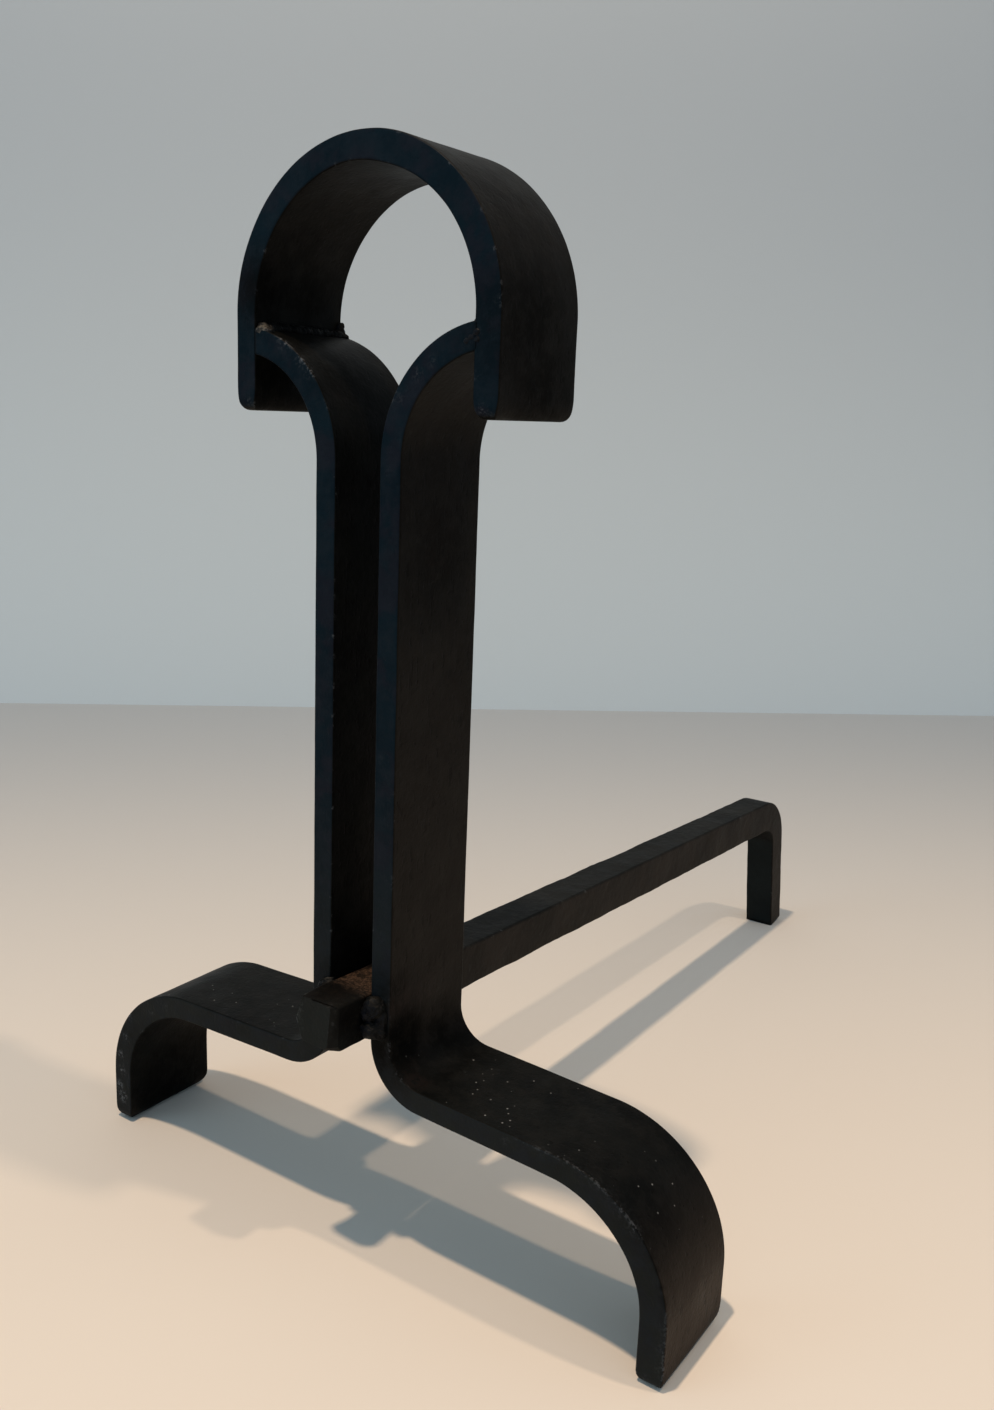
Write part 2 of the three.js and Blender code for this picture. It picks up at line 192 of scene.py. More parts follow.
# Reddish brown, where rust shows through the paint, in the same form.
RED_FACES = (
    (400, 1003, 0, 21, 12, 0.7), (425, 992, 0, 21, 13, 0.5), (402, 1070, 0, 23, 9, 0.7),
    (415, 1076, 2, 83, 9, 0.6), (437, 560, 0, 21, 12, 0.3), (560, 1330, 0, 150, 14, 0.3),
)


def on_planes(spots):
    """Centre, radius and strength, in metres, of spots that are given by pixels."""
    found = []
    for px, py, axis, value, radius, strength in spots:
        found.append((on_plane(px, py, axis, value * MM), radius * MM, strength))
    return found


NOSE_RIM = 2.0  # how far behind the nose's end its facets meet
WORN_AND_HIGHLIGHT = on_planes([(px, py, 1, UPRIGHT_FRONT, r, k) for px, py, r, k in WORN_AND_HIGHLIGHT_FRONT])
WORN_AND_HIGHLIGHT += on_planes([(px, py, 1, NOSE + NOSE_RIM, r, k) for px, py, r, k in WORN_AND_HIGHLIGHT_NOSE])
SOOT_AND_SHADE = on_planes(SOOT_AND_SHADE_FACES)
RED = on_planes(RED_FACES)


# ---- Swept bars ----
SUPPORT = 0.3  # the first loop of points beside a rounded edge keeps the face flat
EDGE_STEPS = 3  # in the quarter turn of a rounded edge
CAP_INSET = 0.06
STATION = 2.0  # how far apart the rings of a flat bar are
END_REACH, END_STEPS = 8.0, 7  # and how they close up at its ends


def rounded_section(thickness, width, radius, steps_thick, steps_wide):
    """Points (n, w, edge) round a bar's section: n across the thickness, w across the width from
    its middle, edge 1 on the rounded edges."""
    points = []

    def side(start, end, steps):
        length = max(abs(end[0] - start[0]), abs(end[1] - start[1]))
        inset = SUPPORT / length
        shares = [0.0] + [inset + (1 - 2 * inset) * i / steps for i in range(steps + 1)]
        for t in shares:
            n = start[0] + (end[0] - start[0]) * t
            w = start[1] + (end[1] - start[1]) * t
            points.append((n, w, 1.0 if t == 0.0 else 0.0))

    def bend(cn, cw, first):
        for i in range(EDGE_STEPS):
            a = math.radians(first + 90 * i / EDGE_STEPS)
            points.append((cn + radius * math.cos(a), cw + radius * math.sin(a), 1.0))

    half = width / 2
    far = thickness
    side((0.0, half - radius), (0.0, radius - half), steps_wide)
    bend(radius, radius - half, 180)
    side((radius, -half), (far - radius, -half), steps_thick)
    bend(far - radius, radius - half, 270)
    side((far, radius - half), (far, half - radius), steps_wide)
    bend(far - radius, half - radius, 0)
    side((far - radius, half), (radius, half), steps_thick)
    bend(radius, half - radius, 90)
    return points


def near(point, spots):
    """The strength of the nearest of some spots, each a centre, a radius and a strength."""
    best = 0.0
    for centre, radius, strength in spots:
        away = (point - centre).length / radius
        if away < 1.0:
            best = max(best, strength * (1 - away * away) ** 2)
    return best


def float_attribute(mesh, name, values):
    mesh.attributes.new(name, "FLOAT", "POINT").data.foreach_set("value", values)


def bar_mesh(name, rings, section):
    """A mesh from rings of points. The attribute edge is 1 on the bar's long edges. The wear
    attribute says how much paint the place has lost, and also carries painted highlights along some
    edges. The soot attribute says how dark the place is, from soot and from painted shade. The
    attribute red says how much rust shows."""
    count = len(section)
    vertices = [p * MM for ring in rings for p in ring]
    faces = []
    for i in range(len(rings) - 1):
        for j in range(count):
            k = (j + 1) % count
            faces.append((i * count + j, i * count + k, (i + 1) * count + k, (i + 1) * count + j))
    edges = [s[2] for _ in rings for s in section]
    for i in (0, len(rings) - 1):
        centre = sum(rings[i], Vector()) / count
        inner = len(vertices)
        vertices += [(p + (centre - p) * CAP_INSET) * MM for p in rings[i]]
        edges += [0.0] * count
        loop = [(i * count + j, inner + j) for j in range(count)]
        if i > 0:
            loop = [(a, b) for a, b in reversed(loop)]
        for (a, b), (c, d) in zip(loop, loop[1:] + loop[:1]):
            faces.append((a, b, d, c))
        faces.append(tuple(b for _, b in reversed(loop)))
    mesh = bpy.data.meshes.new(name)
    mesh.from_pydata(vertices, [], faces)
    mesh.validate()
    float_attribute(mesh, "edge", edges)
    float_attribute(mesh, "worn_and_highlight", [near(v, WORN_AND_HIGHLIGHT) for v in vertices])
    float_attribute(mesh, "soot_and_shade", [near(v, SOOT_AND_SHADE) for v in vertices])
    float_attribute(mesh, "red", [near(v, RED) for v in vertices])
    mesh.shade_smooth()
    body = bpy.data.objects.new(name, mesh)
    bpy.context.scene.collection.objects.link(body)
    return body


def steps(first, last, size):
    """Stations from first to last, about size apart."""
    count = max(1, round(abs(last - first) / size))
    return [first + (last - first) * i / count for i in range(count + 1)]


def end_stations(length):
    """Stations along a bar, closer together where its end is rounded."""
    body = length - END_REACH
    shares = [math.sin(math.pi / 2 * i / END_STEPS) for i in range(1, END_STEPS + 1)]
    return steps(0.0, body, STATION)[:-1] + [body] + [length - END_REACH * (1 - t) for t in shares]


def corner_cut(distance, radius):
    """How much a rounded corner takes off the side at a distance from the end."""
    if distance >= radius:
        return 0.0
    return radius - math.sqrt(max(0.0, radius ** 2 - (radius - distance) ** 2))


class Path:
    """A bar's course in its own plane: arcs and lines, each giving a point for a share of its
    length and a depth below its first face."""

    def __init__(self):
        self.parts = []
        self.length = 0.0

    def line(self, start, end, across):
        length = (end - start).length
        self.add(length, lambda t, n: start + (end - start) * t + across * n)

    def arc(self, centre, radius, inward, first, last):
        """inward is 1 where n runs towards the centre and -1 where it runs away from it; first
        and last are angles, or functions of the layer's radius."""
        middle = radius - inward * FLAT_THICKNESS / 2

        def angle(value, r):
            return value(r) if callable(value) else value

        def at(t, n):
            r = radius - inward * n
            a = angle(first, r) + (angle(last, r) - angle(first, r)) * t
            return centre + r * Vector((math.cos(a), math.sin(a)))

        self.add(abs(angle(last, middle) - angle(first, middle)) * middle, at)

    def add(self, length, at):
        self.parts.append((self.length, length, at))
        self.length += length

    def point(self, s, n):
        for start, length, at in self.parts:
            if s <= start + length or (start, length, at) == self.parts[-1]:
                return at((s - start) / length, n)


def uneven(point, seed, size, depth):
    """Unevenness of a hand-finished face."""
    return depth * noise.noise(point / size + Vector((seed, seed * 0.37, -seed)))


def grown(s, start, reach, amount):
    """Rises smoothly from nothing at start to amount at start + reach."""
    t = min(1.0, max(0.0, (s - start) / reach))
    return amount * t * t * (3 - 2 * t)


def sweep_flat(name, path, stations, ends, side, seed, upset):
    """Sweeps the flat bar along a path in the front view. ends says how each of its two ends was
    ground, with None for an end left square. upset gives, for a place along the path, how much
    bending has thickened the first face, the other face and the bar's rear edge."""
    section = rounded_section(FLAT_THICKNESS, FLAT_WIDTH, FLAT_LEAD, 5, 22)
    rings = []
    for s in stations:
        front = rear = off_first = off_other = 0.0
        for distance, end in ((s, ends[0]), (path.length - s, ends[1])):
            if end is None:
                continue
            front_corner, rear_corner, ground, first_depth, other_depth = end
            front += corner_cut(distance, front_corner)
            rear += corner_cut(distance, rear_corner)
            if distance < ground:
                share = 1 - math.sqrt(1 - (1 - distance / ground) ** 2)
                off_first += first_depth * share
                off_other += other_depth * share
        ring = []
        first, other, back = upset(s)
        for n, w, _ in section:
            low, high = -FLAT_WIDTH / 2 + front, FLAT_WIDTH / 2 - rear + back
            wide = low + (w / FLAT_WIDTH + 0.5) * (high - low)
            depth = off_first + n * (1 - (off_first + off_other) / FLAT_THICKNESS)
            depth += (n / FLAT_THICKNESS) * other - (1 - n / FLAT_THICKNESS) * first
            flat = path.point(s, depth)
            p = Vector((side * flat.x, UPRIGHT_MIDDLE + wide, flat.y))
            bump = uneven(p, seed, *FLAT_WAVE) + uneven(p, seed + 5, *FLAT_RIPPLE)
            toward = path.point(s, depth + 0.5) - flat
            out = (n / FLAT_THICKNESS - 0.5) * 2
            p.x += side * toward.normalized().x * out * bump
            p.z += toward.normalized().y * out * bump
            ring.append(p)
        rings.append(ring if side > 0 else ring[::-1])
    return bar_mesh(name, rings, section if side > 0 else section[::-1])


def arch_path():
    """From the left leg's end over the top to the right leg's; n runs inward."""
    centre = Vector((0.0, ARCH_CENTRE))
    outer = ARCH_INNER + FLAT_THICKNESS
    low = ARCH_CENTRE - ARCH_LEG
    path = Path()
    path.line(Vector((-outer, low)), Vector((-outer, ARCH_CENTRE)), Vector((1.0, 0.0)))
    path.arc(centre, outer, 1, math.pi, 0.0)
    path.line(Vector((outer, ARCH_CENTRE)), Vector((outer, low)), Vector((-1.0, 0.0)))
    return path


# The centres of the uprights' bends, from the sizes.
CURL_OUTER = CURL_RADIUS + FLAT_THICKNESS
CURL_X = GAP_HALF + CURL_OUTER
TIP_X = ARCH_INNER - TIP_CLEARANCE
TIP_RUN = ARCH_INNER - WELD_SEAT - CURL_X
CURL_Z = ARCH_CENTRE - CURL_DROP - math.sqrt(CURL_OUTER ** 2 - TIP_RUN ** 2)
LOWER_X = GAP_HALF + LOWER_RADIUS + FLAT_THICKNESS
LOWER_Z = LOG_REST - SQUARE_BAR
FOOT_X = FOOT_SPAN / 2 - FOOT_RADIUS - FLAT_THICKNESS
FOOT_TURN = math.pi / 2 - FOOT_SLOPE
BEND_SUM = LOWER_RADIUS + FLAT_THICKNESS + FOOT_RADIUS
STRETCH = (FOOT_X - LOWER_X + BEND_SUM * math.sin(FOOT_SLOPE)) / math.cos(FOOT_SLOPE)
FOOT_Z = LOWER_Z - BEND_SUM * math.cos(FOOT_SLOPE) - STRETCH * math.sin(FOOT_SLOPE)


def upright_path(lift):
    """From the tip of the curl down to the foot; n runs from the gap's side outward. lift is how
    much higher than drawn this curl was bent."""
    curl = Vector((CURL_X, CURL_Z + lift))
    lower = Vector((LOWER_X, LOWER_Z))
    foot = Vector((FOOT_X, FOOT_Z))
    across = Vector((1.0, 0.0))
    rise = Vector((math.cos(FOOT_TURN), math.sin(FOOT_TURN)))
    path = Path()
    path.arc(curl, CURL_OUTER, 1, lambda r: math.acos((TIP_X - CURL_X) / r), math.pi)
    path.line(Vector((GAP_HALF, CURL_Z + lift)), Vector((GAP_HALF, LOWER_Z)), across)
    path.arc(lower, LOWER_RADIUS + FLAT_THICKNESS, 1, math.pi, math.pi + FOOT_TURN)
    path.line(
        lower - rise * (LOWER_RADIUS + FLAT_THICKNESS),
        foot + rise * FOOT_RADIUS,
        rise,
    )
    path.arc(foot, FOOT_RADIUS, -1, FOOT_TURN, 0.0)
    path.line(
        foot + Vector((FOOT_RADIUS, 0.0)),
        Vector((FOOT_X + FOOT_RADIUS, 0.0)),
        across,
    )
    return path


def make_arch():
    path = arch_path()
    half = [s for s in end_stations(path.length) if s > path.length / 2]
    stations = [path.length - s for s in reversed(half)] + half

    def upset(s):
        return 0.0, grown(s, path.length * ARCH_GROWS, ARCH_REACH, ARCH_THICKER), ARCH_WIDER

    return sweep_flat("arch_bar", path, stations, ARCH_ENDS, 1, 3.0, upset)


def make_upright(name, side, lift, foot):
    path = upright_path(lift)

    def upset(s):
        return grown(s, path.length - FOOT_GROWS, FOOT_REACH, FOOT_THICKER), 0.0, FOOT_WIDER

    stations = end_stations(path.length)
    return sweep_flat(name, path, stations, (None, foot), side, 11.0 * side, upset)


# ---- Log bar ----
NOSE_STATIONS = (0.0, 0.25, 0.6, 1.0, 1.5, 2.0, 2.6, 3.3, 4.0, 4.8, 5.6, 6.4, 7.3, 8.2, 9.2)
TAPER_FROM = 60.0  # along the bar, where it starts to narrow towards the leg
NOSE_LENGTH = 9.0  # the length that was hammered
NOSE_SPREAD, SPREAD_AT, SPREAD_REACH = 2.4, 2.0, 10.0  # how hammering has widened it
# The rust on top lies between these two places, and fades over these lengths.
RUST_BACK, BACK_FADE = -188.0, 8.0
RUST_FRONT, FRONT_FADE = -217.0, 7.0


def bar_top(y):
    """The height of the bar's top at a place y."""
    return LOG_REST - (y - UPRIGHT_FRONT) * math.tan(BAR_FALL)


def make_log_bar():
    ahead = Vector((math.cos(BAR_FALL), -math.sin(BAR_FALL)))
    down = Vector((-math.sin(BAR_FALL), -math.cos(BAR_FALL)))
    leg_down = Vector((math.sin(LEG_SPLAY), -math.cos(LEG_SPLAY)))
    leg_in = Vector((-math.cos(LEG_SPLAY), -math.sin(LEG_SPLAY)))
    turn = math.acos(ahead.dot(leg_down))
    # The hollow side's corner, where the underside of the bar meets the front of the leg.
    run = LEG_DEPTH / math.cos(LEG_SPLAY)
    drop = SQUARE_BAR / math.cos(BAR_FALL)
    slope, lean = math.tan(BAR_FALL), math.tan(LEG_SPLAY)
    height = (bar_top(HEEL - run) - drop) / (1 - slope * lean)
    inner = Vector((HEEL - run - height * lean, height))
    back = HEEL_RADIUS * math.tan(turn / 2)
    centre = inner - ahead * back + down * HEEL_RADIUS
    nose = Vector((NOSE, bar_top(NOSE)))
    bend_start = centre - down * (HEEL_RADIUS + SQUARE_BAR)
    straight = (bend_start - nose).dot(ahead)
    arc = turn * (HEEL_RADIUS + SQUARE_BAR / 2)
    leg_start = centre - leg_in * HEEL_RADIUS
    leg = leg_start.y / math.cos(LEG_SPLAY)
    stations = list(NOSE_STATIONS) + steps(10.5, straight, 2.0)
    stations += [straight + s for s in steps(0.0, arc, 1.8)[1:]]
    stations += [straight + arc + s for s in steps(0.0, leg, 2.2)[1:]]
    section = rounded_section(SQUARE_BAR, SQUARE_BAR, SQUARE_LEAD, 14, 14)
    rings = []
    taper_to = straight - 4
    for s in stations:
        drawn = min(1.0, max(0.0, (s - TAPER_FROM) / (taper_to - TAPER_FROM)))
        bent = min(1.0, max(0.0, (s - straight) / arc))
        width = SQUARE_BAR + (LEG_WIDTH - SQUARE_BAR) * drawn
        depth = SQUARE_BAR + (LEG_DEPTH - SQUARE_BAR) * bent
        nose_share = max(0.0, 1 - s / NOSE_LENGTH)
        spread = NOSE_SPREAD * max(0.0, 1 - abs(s - SPREAD_AT) / SPREAD_REACH) ** 1.5
        rough = 1 + 1.5 * nose_share
        ring = []
        for n, w, _ in section:
            share = n / SQUARE_BAR
            below = share * depth
            wide = w * width / SQUARE_BAR
            wide -= spread * (0.5 - w / SQUARE_BAR) * (1 - (2 * share - 1.1) ** 2)
            if s <= straight:
                flat = nose + ahead * s + down * below
            elif s <= straight + arc:
                a = turn * (s - straight) / arc
                spoke = -down * math.cos(a) + ahead * math.sin(a)
                flat = centre + spoke * (HEEL_RADIUS + depth - below)
            else:
                t = s - straight - arc
                flat = leg_start + leg_down * t - leg_in * (depth - below)
            p = Vector((wide, flat.x, max(0.0, flat.y)))
            push = rough * (uneven(p, 31.0, *BAR_WAVE) + uneven(p, 17.0, *BAR_RIPPLE))
            p.x += push * w / (SQUARE_BAR / 2)
            if s <= straight:
                p.z += push * (0.5 - share) * 2
            ring.append(p)
        rings.append(ring)
    body = bar_mesh("square_log_bar", rings, section)
    dress_nose(body.data)
    values = []
    for v in body.data.vertices:
        y = v.co.y / MM
        below = bar_top(y) - v.co.z / MM
        on_top = max(0.0, 1 - max(0.0, below - 0.6) / 1.6)
        between = min(1.0, max(0.0, (RUST_BACK - y) / BACK_FADE))
        ahead_of = min(1.0, max(0.0, (RUST_FRONT - y) / FRONT_FADE))
        values.append(on_top * between * (1 - 0.97 * ahead_of))
    float_attribute(body.data, "rust", values)
    return body


# Facets of the nose: a point that each passes through, measured from the middle of the nose's end,
# and the way it faces.
NOSE_FACETS = (
    ((0.0, 0.5, 0.0), (-0.05, -1.0, 0.02)),
    ((0.0, 1.1, 10.0), (0.02, -0.62, 0.78)),
    ((10.0, 1.9, 0.0), (0.41, -0.91, -0.02)),
    ((4.6, 0.0, -9.0), (0.45, -0.70, -0.55)),
    ((-7.8, 0.0, 10.0), (-1.0, -0.474, 0.34)),
    ((-7.7, 0.0, -10.0), (-1.0, -0.42, -0.41)),
    ((0.0, 0.9, -10.0), (0.0, -0.62, -0.78)),
)
CUT_REACH, NOSE_REACH = 40.0, 16.0  # behind the nose's end: what is cut, and what is marked
FACET_ROUNDING = 0.35
FACET_INSET = 0.5
FACET_AREA = 4e-6  # smaller faces, in square metres, are no facets
IN_PLANE = 1e-7
SHARP = math.radians(13)


def dress_nose(mesh):
    """Cuts the nose's facets, breaks their edges and marks those edges in the attribute edge."""
    bm = bmesh.new()
    bm.from_mesh(mesh)
    middle = Vector((0.0, NOSE, bar_top(NOSE) - SQUARE_BAR / 2))
    planes = [((middle + Vector(through)) * MM, Vector(facing).normalized())
              for through, facing in NOSE_FACETS]
    for at, facing in planes:
        near_nose = [f for f in bm.faces if f.calc_center_median().y < (NOSE + CUT_REACH) * MM]
        geometry = set(near_nose)
        for f in near_nose:
            geometry.update(f.edges)
            geometry.update(f.verts)
        cut = bmesh.ops.bisect_plane(bm, geom=list(geometry), dist=1e-8, plane_co=at,
                                     plane_no=facing, clear_outer=True)
        rim = [e for e in cut["geom_cut"] if isinstance(e, bmesh.types.BMEdge) and e.is_boundary]
        if rim:
            bmesh.ops.edgeloop_fill(bm, edges=rim)

    def facets():
        return [f for f in bm.faces if f.calc_area() > FACET_AREA and any(
            all(abs((v.co - at).dot(facing)) < IN_PLANE for v in f.verts)
            for at, facing in planes)]

    rims = list({e for f in facets() for e in f.edges if len(e.link_faces) == 2
                 and e.calc_face_angle(0.0) > SHARP})
    bmesh.ops.bevel(bm, geom=rims, offset=FACET_ROUNDING * MM, offset_type="OFFSET", segments=2,
                    profile=0.5, affect="EDGES", clamp_overlap=True)
    bmesh.ops.inset_individual(bm, faces=facets(), thickness=FACET_INSET * MM, depth=0.0)
    edge = bm.verts.layers.float["edge"]
    for v in bm.verts:
        if v.co.y < (NOSE + NOSE_REACH) * MM:
            normals = [f.normal for f in v.link_faces]
            v[edge] = 1.0 if any(a.angle(b, 0.0) > SHARP for a in normals for b in normals) else 0.0
    bm.to_mesh(mesh)
    bm.free()
    for name, spots in (("worn_and_highlight", WORN_AND_HIGHLIGHT), ("soot_and_shade", SOOT_AND_SHADE)):
        values = [near(v.co, spots) for v in mesh.vertices]
        mesh.attributes[name].data.foreach_set("value", values)
    mesh.shade_smooth()


arch = make_arch()
right_upright = make_upright("right_flat_bar", 1, RIGHT_LIFT, RIGHT_FOOT)
left_upright = make_upright("left_flat_bar", -1, LEFT_LIFT, LEFT_FOOT)
log_bar = make_log_bar()


# ---- Weld beads ----
# Bare, tan slag at the front end of the left arch bead, and paler spots on two others: a centre, a
# radius and a strength.
TAN = (
    (Vector((-49.6, -219.0, 375.2)) * MM, 5.2 * MM, 0.9),
    (Vector((-10.8, -221.0, 116.6)) * MM, 3.0 * MM, 0.3),
    (Vector((14.2, -223.0, 116.0)) * MM, 4.0 * MM, 0.10),
)
BEAD_VOXEL = 0.4
LUMP, GRAIN = (2.2, 0.55), (0.8, 0.3)  # the size and the share of a bead's unevenness


def ball_mesh(balls):
    """One mesh of the ellipsoids balls, each a centre and three radii, in mm."""
    made = bmesh.new()
    for centre, radii in balls:
        scale = Matrix.Diagonal((*radii, 1.0))
        place = Matrix.Translation(Vector(centre)) @ scale
        bmesh.ops.create_icosphere(made, subdivisions=3, radius=1.0, matrix=place)
    bmesh.ops.scale(made, vec=(MM, MM, MM), verts=made.verts)
    mesh = bpy.data.meshes.new("balls")
    made.to_mesh(mesh)
    made.free()
    return mesh


def make_bead(name, balls, seed, grain):
    """A weld bead: drops of metal run together, with the grain of cooled slag."""
    rough = bpy.data.objects.new(name, ball_mesh(balls))
    bpy.context.scene.collection.objects.link(rough)
    melt = rough.modifiers.new("melt", "REMESH")
    melt.mode = "VOXEL"
    melt.voxel_size = BEAD_VOXEL * MM
    soft = rough.modifiers.new("soft", "SMOOTH")
    soft.factor, soft.iterations = 0.5, 2
    graph = bpy.context.evaluated_depsgraph_get()
    mesh = bpy.data.meshes.new_from_object(rough.evaluated_get(graph))
    rough.modifiers.clear()
    rough.data = mesh
    normals = [v.normal.copy() for v in mesh.vertices]
    for v, normal in zip(mesh.vertices, normals):
        p = v.co / MM
        lumps = noise.noise(p / LUMP[0] + Vector((seed, 0, 0)))
        fine = noise.noise(p / GRAIN[0] + Vector((0, seed, 0)))
        v.co += normal * (grain * (LUMP[1] * lumps + GRAIN[1] * fine)) * MM
    float_attribute(mesh, "tan", [near(v.co, TAN) for v in mesh.vertices])
    mesh.shade_smooth()
    return rough


END_DROP = 0.7  # the size of a row's end drops against its middle ones


def drops(start, end, pitch, radii, seed):
    """Drops of weld metal in a row from start to end, smaller at the row's ends."""
    first, last = Vector(start), Vector(end)
    count = max(2, round((last - first).length / pitch) + 1)
    row = []
    for i in range(count):
        t = i / (count - 1)
        vary = 1 + 0.22 * noise.noise(Vector((seed, i * 1.7, 0.3)))
        size = vary * (END_DROP + (1 - END_DROP) * math.sin(math.pi * (0.12 + 0.76 * t)))
        row.append((first.lerp(last, t), tuple(r * size for r in radii)))
    return row


BACK = UPRIGHT_FRONT + FLAT_WIDTH
SEAT_DEPTH = 0.9  # how far the arch's beads sit below the tops of the curls
BAR_RADII = (4.6, 4.6, 3.0)
# Drops on the front of the right arch bead: a pixel and a radius.
FRONT_DROPS = ((466, 341, 1.5), (471, 337, 1.2), (476, 332, 1.7), (477, 339, 1.5))


def front_point(px, py):
    """The point of the uprights' front under a pixel, in mm."""
    return on_plane(px, py, 1, UPRIGHT_FRONT * MM) / MM


def arch_beads():
    """Beads on the curls, along the inside of the arch."""
    seat = CURL_Z + LEFT_LIFT + CURL_OUTER - SEAT_DEPTH
    front, back = UPRIGHT_FRONT + 3, BACK - 1
    left = drops((-52.6, front, seat), (-52.6, back, seat), 2.2, (5.0, 2.4, 2.9), 2.0)
    left.append((Vector((-50.4, front - 0.9, seat - 1.0)), (3.9, 2.5, 2.3)))
    left.append((Vector((-47.8, front - 1.2, seat - 1.2)), (2.6, 1.8, 1.5)))
    left.append((Vector((-52.4, BACK - 1.2, seat + 1.4)), (2.4, 2.0, 4.6)))
    left.append((Vector((-50.9, BACK - 1.2, seat - 0.4)), (3.2, 2.0, 2.0)))
    seat = CURL_Z + RIGHT_LIFT + CURL_OUTER - SEAT_DEPTH
    right = drops((52.6, front, seat), (52.6, back, seat), 2.2, (3.6, 2.4, 1.9), 7.0)
    for px, py, r in FRONT_DROPS:
        right.append((front_point(px, py) + Vector((0, 0.35, 0)), (r, 0.75, r * 0.8)))
    return left, right


def bar_beads():
    """Beads in the four corners of the bar and the uprights."""
    x = SQUARE_BAR / 2 + 1.6
    front_y, back_y = UPRIGHT_FRONT - 1.2, BACK + 1.2
    front_right = [
        (Vector((14.2, front_y, 111.2)), (5.0, 5.2, 4.6)),
        (Vector((12.2, front_y - 0.8, 109.0)), (3.6, 4.6, 4.2)),
        (Vector((17.0, front_y + 0.6, 107.6)), (2.9, 2.6, 5.4)),
        (Vector((13.4, front_y - 0.6, 101.9)), (4.6, 5.4, 4.3)),
        (Vector((16.6, front_y + 0.4, 101.0)), (3.0, 3.0, 3.6)),
    ]
    low, high = bar_top(UPRIGHT_FRONT) - SQUARE_BAR + 3, bar_top(UPRIGHT_FRONT) - 2.4
    front_left = drops((-x, front_y, low), (-x, front_y, high), 3.0, BAR_RADII, 9.0)
    lip = bar_top(UPRIGHT_FRONT) + 0.6
    front_left += drops((-11.8, front_y - 1.8, lip), (-10.2, front_y + 1.8, lip), 1.1,
                        (0.8, 0.8, 0.6), 5.0)
    low, high = bar_top(BACK) - SQUARE_BAR + 3, bar_top(BACK) - 2.4
    rear_left = drops((-x, back_y, low), (-x, back_y, high), 3.0, BAR_RADII, 13.0)
    rear_right = drops((x, back_y, low), (x, back_y, high), 3.0, BAR_RADII, 15.0)
    return front_left, front_right, rear_left, rear_right


arch_left_drops, arch_right_drops = arch_beads()
front_left_drops, front_right_drops, rear_left_drops, rear_right_drops = bar_beads()
# The node that each replaces, its drops, its seed and its grain.
BEADS = (
    ("arch_weld_left", arch_left_drops, 1.0, 0.9),
    ("arch_weld_right", arch_right_drops, 2.0, 0.6),
    ("bar_weld_front_left", front_left_drops, 3.0, 0.7),
    ("bar_weld_front_right", front_right_drops, 4.0, 1.1),
    ("bar_weld_rear_left", rear_left_drops, 5.0, 0.7),
    ("bar_weld_rear_right", rear_right_drops, 6.0, 0.7),
)


